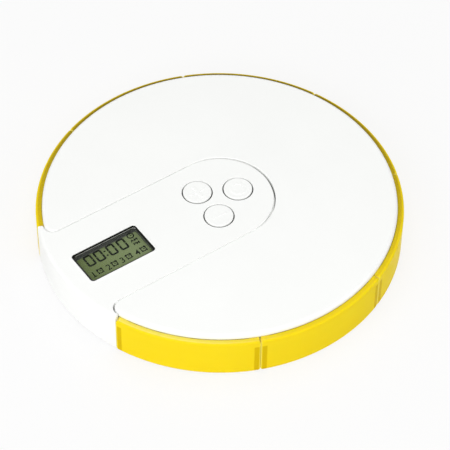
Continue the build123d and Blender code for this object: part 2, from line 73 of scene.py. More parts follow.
def from_display(red, green, blue):
    """A colour as it looks on a display, 0 to 255, brought to the values that shaders take."""
    def linear(value):
        value /= 255
        return value / 12.92 if value <= 0.04045 else ((value + 0.055) / 1.055) ** 2.4

    return linear(red), linear(green), linear(blue)


# Lengths in millimetres
SIZES = {
    "outer_radius": (65.0, "Radius of the box over the drawer fronts"),
    "top_height": (17.5, "Height of the cover's top face over the table"),
    "cover_thickness": (1.6, "Thickness of the cover plate"),
    "cover_radius": (62.7, "Radius of the cover plate"),
    "cover_round": (1.3, "Round of the cover's outer edge"),
    "slot_half_width": (19.35, "Half the width of the cover's slot"),
    "slot_end_shift": (0.35, "Distance of the slot's round end from the box's middle"),
    "slot_mouth_round": (3.2, "Round of the cover's corners at the slot's mouth"),
    "edge_round": (0.25, "Round of the small moulded edges"),
    "tongue_half_width": (19.0, "Half the width of the timer's tongue"),
    "housing_corner_round": (3.6, "Round between the tongue and the timer's rim"),
    "rim_round": (1.2, "Round of the timer rim's top and bottom edge"),
    "rim_thickness": (1.8, "Thickness of the timer's rim wall"),
    "base_height": (0.5, "Height of the base's underside over the table"),
    "window_place": (44.9, "Distance of the window's middle from the box's middle"),
    "window_shift": (-0.4, "Sideways place of the window's middle"),
    "window_length": (26.15, "Length of the display window"),
    "window_width": (14.0, "Width of the display window"),
    "window_round": (1.2, "Round of the window's corners"),
    "bezel_width": (0.75, "Width of the raised rim round the window"),
    "bezel_stand": (0.12, "Height of the window's rim over the top face"),
    "display_depth": (3.1, "Depth of the display panel below the top face"),
    "button_radius": (5.08, "Radius of a button cap"),
    "button_gap": (0.4, "Gap round a button cap"),
    "button_stand": (0.25, "Height of a button cap over the top face"),
    "front_thickness": (2.2, "Thickness of a drawer's front"),
    "front_top": (15.82, "Height of a drawer front's top edge over the table"),
    "front_corner_round": (1.2, "Round of a drawer front's corners"),
    "front_edge_round": (0.9, "Round of a drawer front's edges"),
    "seam_inset": (0.035, "Distance of a drawer front's or the rim's end from the seam's middle"),
    "tub_top": (12.2, "Height of a drawer tub's walls over the table"),
    "tub_wall": (1.2, "Thickness of a drawer tub's walls and floor"),
    "tub_back": (26.0, "Distance of a drawer tub's back from the box's middle"),
}
# Colours as they look on a display, 0 to 255
COLOURS = {
    "white_plastic": ((250, 251, 249), "Colour of the cover, timer housing and base"),
    "drawer_plastic": ((253, 221, 30), "Colour of the translucent drawers"),
    "drawer_shade": ((222, 188, 6), "Colour of the drawers where a wall lies behind the front"),
    # Painted highlight of the drawers' thin edges
    "drawer_glow": ((255, 238, 120), "Colour of the drawers' thin bright edges"),
    "display_glass": ((136, 152, 105), "Colour of the display's background"),
    "display_ink": ((10, 15, 6), "Colour of the display's segments"),
    "display_frame": ((84, 86, 82), "Colour of the frame round the display"),
    "black_plastic": ((38, 38, 40), "Colour of the timer's black parts"),
    "rubber": ((150, 150, 150), "Colour of the feet"),
    "circuit_board": ((24, 92, 48), "Colour of the circuit board"),
    "floor": ((240, 240, 240), "Colour of the floor"),
}


def setting(kind, name, description, default, **values):
    return kind(name=name.replace("_", " ").capitalize(), description=description, default=default, **values)


class PillBoxSizes(PropertyGroup):
    __annotations__ = {
        name: setting(FloatProperty, name, description, length * MM, subtype="DISTANCE", unit="LENGTH")
        for name, (length, description) in SIZES.items()
    }


class PillBoxColours(PropertyGroup):
    __annotations__ = {
        name: setting(
            FloatVectorProperty, name, description, from_display(*tone), subtype="COLOR", size=3, min=0, max=1
        )
        for name, (tone, description) in COLOURS.items()
    }


class InMillimetres:
    """Reads a group's lengths in millimetres."""

    def __init__(self, group):
        self.group = group

    def __getattr__(self, name):
        return getattr(self.group, name) / MM

    @property
    def under(self):
        """Height of the cover plate's underside."""
        return self.top_height - self.cover_thickness


def sizes(context):
    return InMillimetres(context.scene.pill_box_sizes)


# Drawing


def polar(radius, angle):
    return Vector((radius * cos(radians(angle)), radius * sin(radians(angle)), 0))


def seam_half_angle(radius, offset):
    """Half the angle of a sector at a radius, its ends set in from the seams by an offset."""
    return HALF_SECTOR - degrees(asin(offset / radius))


def new_mesh():
    bm = bmesh.new()
    bm.edges.layers.float.new("bevel_weight_edge")
    return bm


class Pen:
    """Draws an outline: straight runs are extruded and arcs are spun from the last point."""

    def __init__(self, bm, x, y, z):
        self.bm = bm
        self.before = set(bm.edges)
        self.start = self.tip = bm.verts.new((x, y, z))

    def line(self, x, y):
        self.tip = bmesh.ops.extrude_vert_indiv(self.bm, verts=[self.tip])["verts"][0]
        self.tip.co.x, self.tip.co.y = x, y
        return self

    def arc(self, x, y, angle, step=ARC_STEP):
        steps = max(2, round(abs(angle) / step))
        made = bmesh.ops.spin(
            self.bm, geom=[self.tip], cent=(x, y, self.tip.co.z), axis=(0, 0, 1), angle=radians(angle), steps=steps,
            use_duplicate=False,
        )
        self.tip = made["geom_last"][0]
        return self

    def close(self):
        if (self.tip.co - self.start.co).length < OVERLAP / 10:
            bmesh.ops.pointmerge(self.bm, verts=[self.start, self.tip], merge_co=self.start.co)
        else:
            self.bm.edges.new((self.tip, self.start))
        return [edge for edge in self.bm.edges if edge not in self.before]


def each(items):
    """The items once each, in the order in which they first come."""
    return list(dict.fromkeys(items))


def faces_of(items):
    return [item for item in items if isinstance(item, bmesh.types.BMFace)]


def rim(faces):
    """The edges round a group of faces."""
    group = set(faces)
    edges = each(edge for face in faces for edge in face.edges)
    return [edge for edge in edges if len(group & set(edge.link_faces)) == 1]


def fill(bm, edges):
    """A flat face in an outline; faces round the holes where the edges hold more outlines."""
    made = bmesh.ops.triangle_fill(bm, use_beauty=True, use_dissolve=False, edges=edges)
    faces = faces_of(made["geom"])
    inner = each(edge for face in faces for edge in face.edges if len(edge.link_faces) == 2)
    whole = bmesh.ops.dissolve_limit(
        bm, angle_limit=radians(1), use_dissolve_boundaries=False, verts=[], edges=inner, delimit=set()
    )
    return faces_of(whole["region"])


def extrude(bm, faces, height):
    """Extrudes faces straight up or down and returns the moved ones; faces of a solid aren't left inside it."""
    chosen = set(faces)
    edges = each(edge for face in faces for edge in face.edges)
    on_solid = any(set(edge.link_faces) - chosen for edge in edges)
    made = bmesh.ops.extrude_face_region(bm, geom=list(faces) + edges * on_solid)
    verts = [item for item in made["geom"] if isinstance(item, bmesh.types.BMVert)]
    bmesh.ops.translate(bm, verts=verts, vec=(0, 0, height))
    return faces_of(made["geom"])


def cut_across(bm, places):
    """Divides the faces across X, so that no face has a hole inside it or is bent."""
    for x in places:
        geometry = bm.verts[:] + bm.edges[:] + bm.faces[:]
        bmesh.ops.bisect_plane(bm, geom=geometry, dist=MM, plane_co=(x, 0, 0), plane_no=(1, 0, 0))


def weigh(bm, edges, weight):
    """Sets how much of the piece's bevel an edge gets: a share, or a rule that gives one for a place."""
    layer = bm.edges.layers.float["bevel_weight_edge"]
    for edge in edges:
        middle = (edge.verts[0].co + edge.verts[1].co) / 2
        edge[layer] = weight(middle) if callable(weight) else weight


def rounded_rectangle(bm, x, y, z, width, depth, radius):
    """An outline with round corners."""
    step = 15
    right, top = x + width / 2, y + depth / 2
    left, bottom = x - width / 2, y - depth / 2
    pen = Pen(bm, left + radius, bottom, z)
    pen.line(right - radius, bottom).arc(right - radius, bottom + radius, 90, step)
    pen.line(right, top - radius).arc(right - radius, top - radius, 90, step)
    pen.line(left + radius, top).arc(left + radius, top - radius, 90, step)
    pen.line(left, bottom + radius).arc(left + radius, bottom + radius, 90, step)
    return pen.close()


def block(bm, x, y, z, width, depth, height, angle=0):
    """A cuboid on its lower face, turned about the pill box's upright axis."""
    place = Matrix.Rotation(radians(angle), 4, "Z") @ Matrix.Translation((x, y, z + height / 2))
    return bmesh.ops.create_cube(bm, size=1, matrix=place @ Matrix.Diagonal((width, depth, height, 1)))["verts"]


def turned(bm, profile, x=0, y=0, segments=96, angle=360, start=0):
    """A profile of radii and heights spun round an upright axis."""
    before = set(bm.verts)
    verts = [bm.verts.new((radius, 0, height)) for radius, height in profile]
    edges = [bm.edges.new(pair) for pair in zip(verts, verts[1:])]
    bmesh.ops.spin(
        bm, geom=verts + edges, cent=(0, 0, 0), axis=(0, 0, 1), angle=radians(angle), steps=segments,
        use_merge=angle == 360,
    )
    reach = [vert for vert in bm.verts if vert not in before]
    bmesh.ops.remove_doubles(bm, verts=reach, dist=MM)
    place = Matrix.Translation((x, y, 0)) @ Matrix.Rotation(radians(start), 4, "Z")
    bmesh.ops.transform(bm, matrix=place, verts=[vert for vert in reach if vert.is_valid])


def band(inner, outer, low, high):
    """The closed profile of a ring with flat sides."""
    return [(inner, low), (outer, low), (outer, high), (inner, high), (inner, low)]


def post(bm, x, y, bore, radius, low, bore_end, high, segments):
    """A post with a blind bore for a screw from below."""
    profile = [(0, bore_end), (bore, bore_end), (bore, low), (radius, low), (radius, high), (0, high)]
    turned(bm, profile, x, y, segments)


def close_ends(bm):
    """Fills the open ends of spun bars."""
    bmesh.ops.holes_fill(bm, edges=[edge for edge in bm.edges if edge.is_boundary], sides=8)


def round_off(bm, geometry, radius, segments, affect):
    bmesh.ops.bevel(
        bm, geom=geometry, offset=radius, offset_type="OFFSET", segments=segments, profile=0.5, affect=affect,
        material=-1,
    )


def quarter_turn(steps):
    return [radians(90 * step / steps) for step in range(steps + 1)]


def linked(name, data):
    """A new object in the scene."""
    obj = bpy.data.objects.new(name, data)
    bpy.context.scene.collection.objects.link(obj)
    return obj


def take_mesh(holder):
    """The mesh of a draft object as its modifiers leave it. The object is removed."""
    graph = bpy.context.evaluated_depsgraph_get()
    mesh = bpy.data.meshes.new_from_object(holder.evaluated_get(graph))
    bpy.data.objects.remove(holder)
    return mesh


def take_in(bm, mesh):
    """Adds a draft mesh to a bmesh. The mesh is removed."""
    bm.from_mesh(mesh)
    bpy.data.meshes.remove(mesh)


def evaluated(bm, *modifiers):
    """Turns a bmesh into a mesh, with modifiers applied while it is still in millimetres."""
    bmesh.ops.recalc_face_normals(bm, faces=bm.faces)
    mesh = bpy.data.meshes.new("draft")
    bm.to_mesh(mesh)
    bm.free()
    if not modifiers:
        return mesh
    holder = linked("draft", mesh)
    for kind, values in modifiers:
        modifier = holder.modifiers.new(kind, kind)
        for key, value in values.items():
            setattr(modifier, key, value)
    mesh = take_mesh(holder)
    for _, values in modifiers:
        if "object" in values:
            bpy.data.objects.remove(values["object"])
    return mesh


def bevel(width, segments):
    values = {"limit_method": "WEIGHT", "width": width, "segments": segments, "use_clamp_overlap": False}
    return "BEVEL", values


def boolean(operation, *meshes):
    """Modifiers that join a mesh with other ones, or cut them out of it."""
    return [
        ("BOOLEAN", {"operation": operation, "solver": "EXACT", "object": linked("other_draft", mesh)})
        for mesh in meshes
    ]


def window(bm, size, height, grow, corner=None):
    """The window's outline at a height, let out all round."""
    place = -size.window_place, size.window_shift, height
    width, depth = size.window_length + 2 * grow, size.window_width + 2 * grow
    return rounded_rectangle(bm, *place, width, depth, corner or size.window_round + grow)


def piece(name, mesh, body, finish, nodes=()):
    """Brings a mesh to metres and makes it a finished piece that rides on a body."""
    mesh.name = name
    mesh.transform(Matrix.Scale(MM, 4))
    for polygon in mesh.polygons:
        polygon.use_smooth = True
    mesh.set_sharp_from_angle(angle=radians(SMOOTH_ANGLE))
    obj = linked(name, mesh)
    obj.modifiers.new("Weighted Normal", "WEIGHTED_NORMAL").keep_sharp = True
    mesh.materials.clear()
    mesh.materials.append(finishes()[finish])
    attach(obj, body)
    if nodes:
        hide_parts(*nodes)


# Finishes


class Graph:
    """The shader nodes of a material or a world."""

    def __init__(self, owner):
        owner.use_nodes = True
        self.nodes, self.links = owner.node_tree.nodes, owner.node_tree.links

    def node(self, kind, inputs=(), **values):
        made = self.nodes.new("ShaderNode" + kind)
        for key, value in values.items():
            setattr(made, key, value)
        for socket, value in dict(inputs).items():
            if isinstance(value, bpy.types.NodeSocket):
                self.links.new(value, made.inputs[socket])
            else:
                made.inputs[socket].default_value = value
        return made

    def seen(self):
        """One where the camera, a mirror or clear plastic sees a surface, else nothing."""
        path = self.node("LightPath").outputs
        total = path["Is Camera Ray"]
        for name in ("Is Glossy Ray", "Is Transmission Ray"):
            total = self.sum("ADD", total, path[name], use_clamp=True)
        return total

    def sum(self, operation, *values, **settings):
        return self.node("Math", dict(enumerate(values)), operation=operation, **settings).outputs[0]


class Finish(Graph):
    """A material on Object coordinates, built round its Principled shader."""

    def __init__(self, name, **sockets):
        self.material = bpy.data.materials.new(name)
        super().__init__(self.material)
        self.shader = self.nodes["Principled BSDF"]
        self.place = self.node("TexCoord").outputs["Object"]
        for socket, value in sockets.items():
            self.shader.inputs[socket.replace("_", " ")].default_value = value

    def split(self):
        return self.node("SeparateXYZ", {"Vector": self.place}).outputs

    def noise(self, scale, detail=3.0):
        return self.node("TexNoise", {"Vector": self.place, "Scale": scale, "Detail": detail}).outputs["Fac"]

    def spread(self, value, start=0.3, end=0.7, low=0.0, high=1.0):
        """A value brought from one range, by default the noise's middle part, to another. It stays within it."""
        inputs = {"Value": value, "From Min": start, "From Max": end, "To Min": low, "To Max": high}
        return self.node("MapRange", inputs).outputs["Result"]

    def clouds(self, scale, detail=3.0):
        return self.spread(self.noise(scale, detail))

    def mix(self, factor, first, second):
        made = self.node("Mix", data_type="RGBA")
        for socket, value in (("Factor_Float", factor), ("A_Color", first), ("B_Color", second)):
            target = next(item for item in made.inputs if item.identifier == socket)
            if isinstance(value, bpy.types.NodeSocket):
                self.links.new(value, target)
            else:
                target.default_value = value if isinstance(value, float) else (*value, 1)
        return next(item for item in made.outputs if item.identifier == "Result_Color")

    def product(self, first, *others):
        for other in others:
            first = self.sum("MULTIPLY", first, other)
        return first

    def paint(self, colour_socket):
        self.links.new(colour_socket, self.shader.inputs["Base Color"])

    def roughen(self, scale, low, high):
        """Roughness that wanders between two values."""
        self.links.new(self.spread(self.noise(scale), low=low, high=high), self.shader.inputs["Roughness"])

    def grain(self, scale, strength, depth):
        height = self.noise(scale, 2.0)
        made = self.node("Bump", {"Height": height, "Strength": strength, "Distance": depth * MM})
        self.links.new(made.outputs["Normal"], self.shader.inputs["Normal"])


def tint(base, share):
    return tuple(value * share for value in base)


def moulded(name, base, low, high, shade, grain, painted_shade_heights=None, **sockets):
    """Moulded plastic: faint clouds of tone, wandering gloss and a fine grain; it may take painted shade between two
    heights.
    """
    finish = Finish(name, **sockets)
    tone = finish.mix(finish.clouds(45, 4.0), tint(base, shade), base)
    if painted_shade_heights:
        # Painted shade: near black below the lower height, fading out by the upper one
        depth = finish.spread(finish.split()["Z"], painted_shade_heights[1] * MM, painted_shade_heights[0] * MM)
        tone = finish.mix(depth, tone, tint(base, 0.01))
    finish.paint(tone)
    finish.roughen(160, low, high)
    finish.grain(2600, grain, 0.05)
    return finish.material


# The glow colour is the painted highlight
def drawer_plastic(base, shade, glow):
    """Clear yellow plastic: darker over the tub's walls; its top edge goes from a painted highlight line to gold
    deepened by painted shade.
    """
    gold_near, gold_in_painted_shade = from_display(240, 210, 38), from_display(98, 82, 26)
    finish = Finish(
        "drawer_plastic", Subsurface_Weight=0.4, Subsurface_Radius=(1.0, 0.8, 0.1), Subsurface_Scale=0.002,
        IOR=1.49, Transmission_Weight=0.05, Specular_IOR_Level=0.01,
    )
    spread, product, mix, place = finish.spread, finish.product, finish.mix, finish.place
    split = finish.split()
    seam, reach = radians(HALF_SECTOR), 65.0
    across = finish.sum("PINGPONG", finish.sum("ARCTAN2", split["Y"], split["X"]), seam)
    flat = finish.node("VectorMath", {0: place, 1: (1, 1, 0)}, operation="MULTIPLY").outputs["Vector"]
    radius = finish.node("VectorMath", {0: flat}, operation="LENGTH").outputs["Value"]

    # Strips where the tub's side walls stand behind the front
    start, end, blur = seam - 2.2 / reach, seam - 0.5 / reach, 0.2 / reach
    sides = product(spread(across, start - blur, start + blur), spread(across, end + blur, end - blur))
    front = spread(radius, 61.5 * MM, 62.5 * MM)
    strip = product(sides, spread(split["Z"], 13.5 * MM, 13.0 * MM), front)

    # The top edge: gold that deepens into painted shade the further a place lies from the display's near side, with a
    # painted highlight line on the lit part
    above = spread(split["Z"], 14.0 * MM, 15.0 * MM)
    ledge = product(spread(radius, 64.0 * MM, 64.7 * MM, 0.9, 0.0), above)
    towards = {0: place, 1: (-8.8, -12.6, 0)}
    facing = finish.node("VectorMath", towards, operation="DOT_PRODUCT").outputs["Value"]
    painted_highlight_zone = product(spread(split["X"], -15 * MM, -45 * MM), spread(facing, 0.6, 0.85))
    ledge_light_and_shade = mix(spread(facing, 0.65, -0.9), gold_near, gold_in_painted_shade)
    ledge_light_and_shade = mix(product(painted_highlight_zone, 0.6), ledge_light_and_shade, glow)
    # Painted highlight line along the start of the front's outer top round
    off_line = finish.sum("ABSOLUTE", finish.sum("SUBTRACT", radius, 64.15 * MM))
    line = product(spread(off_line, 0.05 * MM, 0.3 * MM, 0.8, 0.0), above, painted_highlight_zone)

    tone = mix(finish.clouds(60, 5.0), tint(base, 0.975), base)
    tone = mix(strip, tone, shade)
    tone = mix(ledge, tone, ledge_light_and_shade)
    # Painted highlight along the front's ends beside the seams
    tone = mix(product(spread(across, end, end + 2 * blur, 0.0, 0.8), front), tone, glow)
    finish.paint(mix(line, tone, glow))
    finish.roughen(220, 0.3, 0.4)
    finish.grain(300, 0.015, 0.2)
    return finish.material


def display_glass(base, painted_shadow_tone):
    """The display's polariser: olive towards the lower left, paler to the right, with a painted shadow along the far
    edge.
    """
    finish = Finish("display_glass", Specular_IOR_Level=0.2)
    split = finish.split()
    along = finish.spread(split["X"], -58 * MM, -34 * MM)
    olive = (base[0] * 0.7, base[1] * 0.73, base[2] * 0.5)
    tone = finish.mix(along, olive, tint(base, 1.1))
    speckle = finish.product(finish.clouds(1800, 2.0), 0.14)
    # Painted shadow of the window's wall along the far edge, in the frame's tone
    far = finish.spread(split["Y"], 5.75 * MM, 6.15 * MM)
    finish.paint(finish.mix(far, finish.mix(speckle, tone, tint(base, 0.6)), painted_shadow_tone))
    finish.roughen(500, 0.4, 0.5)
    return finish.material


def frame_plastic(base):
    """The display's frame: charcoal walls, black towards the lens."""
    finish = Finish("frame_plastic", Specular_IOR_Level=0.3)
    tone = finish.mix(finish.clouds(900), tint(base, 0.9), tint(base, 1.05))
    upper = finish.spread(finish.split()["Z"], 16.3 * MM, 16.45 * MM)
    finish.paint(finish.mix(upper, tone, tint(base, 0.08)))
    finish.roughen(900, 0.45, 0.6)
    return finish.material


def clear_lens():
    """A thin clear window."""
    finish = Finish("clear_lens", Alpha=0.08, IOR=1.49)
    finish.paint(finish.mix(finish.clouds(60, 2.0), (0.03, 0.04, 0.03), (0.06, 0.07, 0.06)))
    finish.roughen(120, 0.03, 0.06)
    return finish.material


def metal(name, base, low, high):
    finish = Finish(name, Metallic=1.0)
    streaks = finish.node("Mapping", {"Vector": finish.place, "Scale": (1.0, 1.0, 12.0)}).outputs["Vector"]
    lines = finish.node("TexNoise", {"Vector": streaks, "Scale": 900.0, "Detail": 4.0}).outputs["Fac"]
    finish.paint(finish.mix(finish.spread(lines), tint(base, 0.8), base))
    finish.roughen(700, low, high)
    return finish.material


FINISHES = {}


def finishes():
    """The finishes, made once. Those that CAD nodes wear go by the record's slot names."""
    if FINISHES:
        return FINISHES
    colours = bpy.context.scene.pill_box_colours
    # Colour, least and greatest roughness, shade of the clouds, strength of the grain, heights between which shade is
    # painted
    plastics = {
        "white_plastic": (colours.white_plastic, 0.3, 0.42, 0.985, 0.02),
        # The buttons get painted shade in the gap round the cap, below the timer's face
        "button_white": (colours.white_plastic, 0.34, 0.46, 0.98, 0.03, (16.85, 17.3)),
        "grey_rubber": (colours.rubber, 0.7, 0.85, 0.8, 0.15),
        "strip_rubber": (from_display(215, 205, 200), 0.6, 0.75, 0.9, 0.1),
        "black_plastic": (colours.black_plastic, 0.45, 0.6, 0.85, 0.05),
        "board_green": (colours.circuit_board, 0.3, 0.45, 0.8, 0.05),
        "component_tan": (from_display(165, 135, 100), 0.4, 0.55, 0.85, 0.05),
    }
    FINISHES.update((name, moulded(name, *values)) for name, values in plastics.items())
    FINISHES.update(
        yellow_clear_plastic=drawer_plastic(colours.drawer_plastic, colours.drawer_shade, colours.drawer_glow),
        frame_plastic=frame_plastic(colours.display_frame),
        clear_lens=clear_lens(),
        display_glass=display_glass(colours.display_glass, colours.display_frame),
        display_ink=moulded("display_ink", colours.display_ink, 0.5, 0.6, 0.8, 0.0, Specular_IOR_Level=0.1),
        steel=metal("steel", (0.6, 0.6, 0.6), 0.25, 0.4),
        bright_metal=metal("bright_metal", (0.78, 0.78, 0.76), 0.18, 0.3),
    )
    return FINISHES


# Pieces


class PILLBOX_OT_top_cover(Operator):
    """Builds the white cover: a disc with a slot for the timer, ribs and screw posts underneath"""

    bl_idname = "pillbox.top_cover"
    bl_label = "Top Cover"

    SEAMS, TIMER_SEAMS = (-112.5, -67.5, -22.5, 22.5, 67.5, 112.5), (-157.5, 157.5)
    RIB_THICKNESS, RIB_END, TIMER_RIB_START = 1.6, 62.1, 54.4
    RING_INNER, RING_OUTER, RING_GAP, RING_END = 53.8, 55.0, 0.25, 19.5

    def ribs(self, size):
        """Ribs that stand over the partitions between the drawers."""
        bm = bmesh.new()
        height = size.under - size.tub_top + OVERLAP
        for angles, start in ((self.SEAMS, POST_CIRCLE), (self.TIMER_SEAMS, self.TIMER_RIB_START)):
            middle, reach = (start + self.RIB_END) / 2, self.RIB_END - start
            for angle in angles:
                block(bm, middle, 0, size.tub_top, reach, self.RIB_THICKNESS, height, angle)
        return evaluated(bm)

    def ring(self, size):
        """The ring rib that guides the drawers' tubs; it ends beside the timer."""
        bm = bmesh.new()
        profile = band(self.RING_INNER, self.RING_OUTER, size.tub_top + self.RING_GAP, size.under + OVERLAP)
        reach = 180 - degrees(asin(self.RING_END / self.RING_INNER))
        turned(bm, profile, segments=160, angle=2 * reach, start=-reach)
        close_ends(bm)
        return evaluated(bm)

    def posts(self, size):
        """Posts for the cover's screws."""
        bm = bmesh.new()
        for angle in self.SEAMS[1:-1]:
            post(bm, *polar(POST_CIRCLE, angle).xy, *LARGE_POST, size.under + OVERLAP, 32)
        return evaluated(bm)

    def execute(self, context):
        size = sizes(context)
        radius, half, mouth, end = size.cover_radius, size.slot_half_width, size.slot_mouth_round, size.slot_end_shift
        mouth_y = half + mouth
        mouth_x = -sqrt((radius - mouth) ** 2 - mouth_y**2)
        mouth_angle = degrees(atan2(mouth_y, mouth_x))
        bm = new_mesh()
        pen = Pen(bm, *polar(radius, -mouth_angle).xy, size.under)
        pen.arc(0, 0, 2 * mouth_angle).arc(mouth_x, mouth_y, 270 - mouth_angle, 8)
        pen.line(end, half).arc(end, 0, -180, 3).line(mouth_x, -half).arc(mouth_x, -mouth_y, 270 - mouth_angle, 8)
        top = extrude(bm, fill(bm, pen.close()), size.cover_thickness)
        least = size.edge_round / size.cover_round
        slot_reach = hypot(mouth_x, half)

        def share(place):
            outwards = (hypot(place.x, place.y) - slot_reach) / (radius - slot_reach - OVERLAP)
            return least + (1 - least) * min(1, max(0, outwards))

        weigh(bm, rim(top), share)
        added = boolean("UNION", self.ribs(size), self.ring(size), self.posts(size))
        mesh = evaluated(bm, bevel(size.cover_round, 5), *added)
        piece("top_cover_white", mesh, "base", "white_plastic", ["top_cover"])
        return {"FINISHED"}


class PILLBOX_OT_timer_housing(Operator):
    """Builds the timer's housing: tongue, rim wall, window and button holes in one white shell"""

    bl_idname = "pillbox.timer_housing"
    bl_label = "Timer Housing"

    SKIRT_LOW, SKIRT_WALL, SKIRT_END = 12.6, 1.4, -61
    BEZEL_ROOT, BEZEL_SHARE = 0.3, 0.3
    BEAD_LOW, BEAD_HIGH, BEAD_WIDTH, BEAD_FADE = 16.2, 17.1, 0.45, 30
    LARGE_POSTS = (-52, 16.2), (-52, -16.2)
    SMALL_POSTS = (-11.6, 11.6), (-11.6, -11.6), (-36, 11.2), (-36, -11.2)

    def openings(self, size):
        """Cutters for the window and the button holes."""
        bm = bmesh.new()
        low, top, edge, radius = size.under - 1, size.top_height, size.edge_round, size.button_radius + size.button_gap
        corner = [(radius + edge * (1 - cos(turn)), top - edge * (1 - sin(turn))) for turn in quarter_turn(4)]
        wall = [(0, low), (radius, low), *corner, (radius + edge, top + 1), (0, top + 1)]
        for x, y in BUTTON_PLACES.values():
            turned(bm, wall, x, y, 72)
        extrude(bm, fill(bm, window(bm, size, low, 0.1)), size.cover_thickness + 2)
        return evaluated(bm)

    def skirt(self, size):
        """The wall that hangs under the tongue's edge."""
        bm = bmesh.new()
        half, end = size.tongue_half_width, self.SKIRT_END
        inner = half - self.SKIRT_WALL
        pen = Pen(bm, end, half, self.SKIRT_LOW)
        pen.line(0, half).arc(0, 0, -180, 3).line(end, -half).line(end, -inner).line(0, -inner)
        pen.arc(0, 0, 180, 3).line(end, inner)
        extrude(bm, fill(bm, pen.close()), size.under - self.SKIRT_LOW + OVERLAP)
        return evaluated(bm)

    def bezel(self, size):
        """The low rim round the window, with the round of the window's own edge."""
        bm = new_mesh()
        low = size.top_height - self.BEZEL_ROOT
        faces = fill(bm, window(bm, size, low, 0) + window(bm, size, low, size.bezel_width))
        top = extrude(bm, faces, self.BEZEL_ROOT + size.bezel_stand)

        def share(place):
            across = abs(place.x + size.window_place) - size.window_length / 2
            beside = abs(place.y - size.window_shift) - size.window_width / 2
            return self.BEZEL_SHARE if max(across, beside) > OVERLAP else 1

        weigh(bm, rim(top), share)
        return evaluated(bm, bevel(size.edge_round, 4))

    def corner_place(self, size):
        """The middle of the round between the tongue and the rim wall."""
        wall, corner = size.outer_radius - size.rim_thickness, size.housing_corner_round
        corner_y = size.tongue_half_width + corner
        return -sqrt((wall - corner) ** 2 - corner_y**2), corner_y

    def bead(self, bm, x, y, radius, start, angle, sunk, reach=25, drop=0.0):
        """A bead in the groove along a curved edge; it sinks round one direction, where the groove is deep."""
        before = set(bm.verts)
        low, high = self.BEAD_LOW, self.BEAD_HIGH
        turned(bm, band(radius - self.BEAD_WIDTH, radius, low, high), x, y, round(angle / 3), angle, start)
        for vert in bm.verts:
            if vert not in before:
                away = abs((degrees(atan2(vert.co.y - y, vert.co.x - x)) - sunk + 180) % 360 - 180)
                share = min(1, max(0, 1 - (away - reach) / self.BEAD_FADE))
                vert.co.z -= share * (drop + (high - low - OVERLAP) * (vert.co.z > low + OVERLAP))

    def curved_beads(self, size):
        """Beads round the tongue's end and in the two corners beside the rim; each hides part of its groove."""
        bm = bmesh.new()
        x, y = self.corner_place(size)
        corner, first = size.housing_corner_round + OVERLAP, degrees(atan2(y, x))
        self.bead(bm, 0, 0, size.tongue_half_width + 2 * OVERLAP, -90, 180, -32)
        self.bead(bm, x, -y, corner, 90, 270 - first, 150, 10, 4.0)
        self.bead(bm, x, y, corner, first, 270 - first, 0)
        close_ends(bm)
        return evaluated(bm)

    def posts(self, size):
        """The screw posts, and the straight beads in the slot beside the tongue."""
        bm = bmesh.new()
        low, reach, width, height, end = 16.45, 54.8, 0.4, 0.55, 0.05
        for side in (1, -1):
            block(bm, end - reach / 2, side * (size.tongue_half_width + width / 4), low, reach, width, height)
        for places, kind, segments in ((self.LARGE_POSTS, LARGE_POST, 32), (self.SMALL_POSTS, SMALL_POST, 24)):
            for x, y in places:
                post(bm, x, y, *kind, size.under + OVERLAP, segments)
        return evaluated(bm)

    def shell(self, size):
        """The tongue and the rim wall, with rounded edges and no openings yet."""
        outer, half, under, seam = size.outer_radius, size.tongue_half_width, size.under, size.seam_inset
        wall = outer - size.rim_thickness
        corner_x, corner_y = self.corner_place(size)
        corner_angle = degrees(atan2(corner_y, corner_x))
        wall_angle, outer_angle = 180 - seam_half_angle(wall, seam), 180 - seam_half_angle(outer, seam)
        bm = new_mesh()
        pen = Pen(bm, 0, -half, under)
        pen.arc(0, 0, 180, 3).line(corner_x, half).arc(corner_x, corner_y, corner_angle - 270, 8)
        first = pen.tip
        pen.arc(0, 0, wall_angle - corner_angle, 1).line(*polar(outer, outer_angle).xy)
        pen.arc(0, 0, 360 - 2 * outer_angle).line(*polar(wall, -wall_angle).xy)
        last = pen.arc(0, 0, wall_angle - corner_angle, 1).tip
        pen.arc(corner_x, -corner_y, corner_angle - 270, 8)
        under_face = fill(bm, pen.close())[0]
        top = set(extrude(bm, [under_face], size.cover_thickness))

        # The face below is split along the rim wall's inner side, and the rim is drawn down from its part
        steps = 30
        turn = (360 - 2 * corner_angle) / steps
        line = [polar(wall, corner_angle + turn * step) + Vector((0, 0, under)) for step in range(1, steps)]
        other_face, _ = bmesh.utils.face_split(under_face, first, last, coords=line)
        wall_face = max(under_face, other_face, key=lambda face: min(hypot(*vert.co.xy) for vert in face.verts))
        bottom = set(extrude(bm, [wall_face], size.base_height - under))
        least = size.edge_round / size.rim_round
        for edge in bm.edges:
            sides = set(edge.link_faces)
            middle = (edge.verts[0].co + edge.verts[1].co) / 2
            reach = hypot(*middle.xy)
            upright = abs(edge.verts[0].co.z - edge.verts[1].co.z) > OVERLAP
            if sides & top and sides - top or sides & bottom and sides - bottom and reach > wall + OVERLAP:
                weigh(bm, [edge], 1 if reach > outer - OVERLAP / 2 else least)
            elif upright and reach > outer - OVERLAP and edge.calc_face_angle(0) > radians(40):
                weigh(bm, [edge], least)
        return evaluated(bm, bevel(size.rim_round, 4))

    def execute(self, context):
        size = sizes(context)
        shell = bmesh.new()
        take_in(shell, self.shell(size))
        cut_across(shell, [-size.window_place, *each(x for x, _ in BUTTON_PLACES.values())])
        openings = boolean("DIFFERENCE", self.openings(size))
        added = boolean("UNION", self.skirt(size), self.posts(size), self.curved_beads(size))
        bm = bmesh.new()
        take_in(bm, evaluated(shell, *openings, *added))
        take_in(bm, self.bezel(size))
        mesh = evaluated(bm)
        piece("timer_housing_white", mesh, "base", "white_plastic", ["timer_housing"])
        return {"FINISHED"}


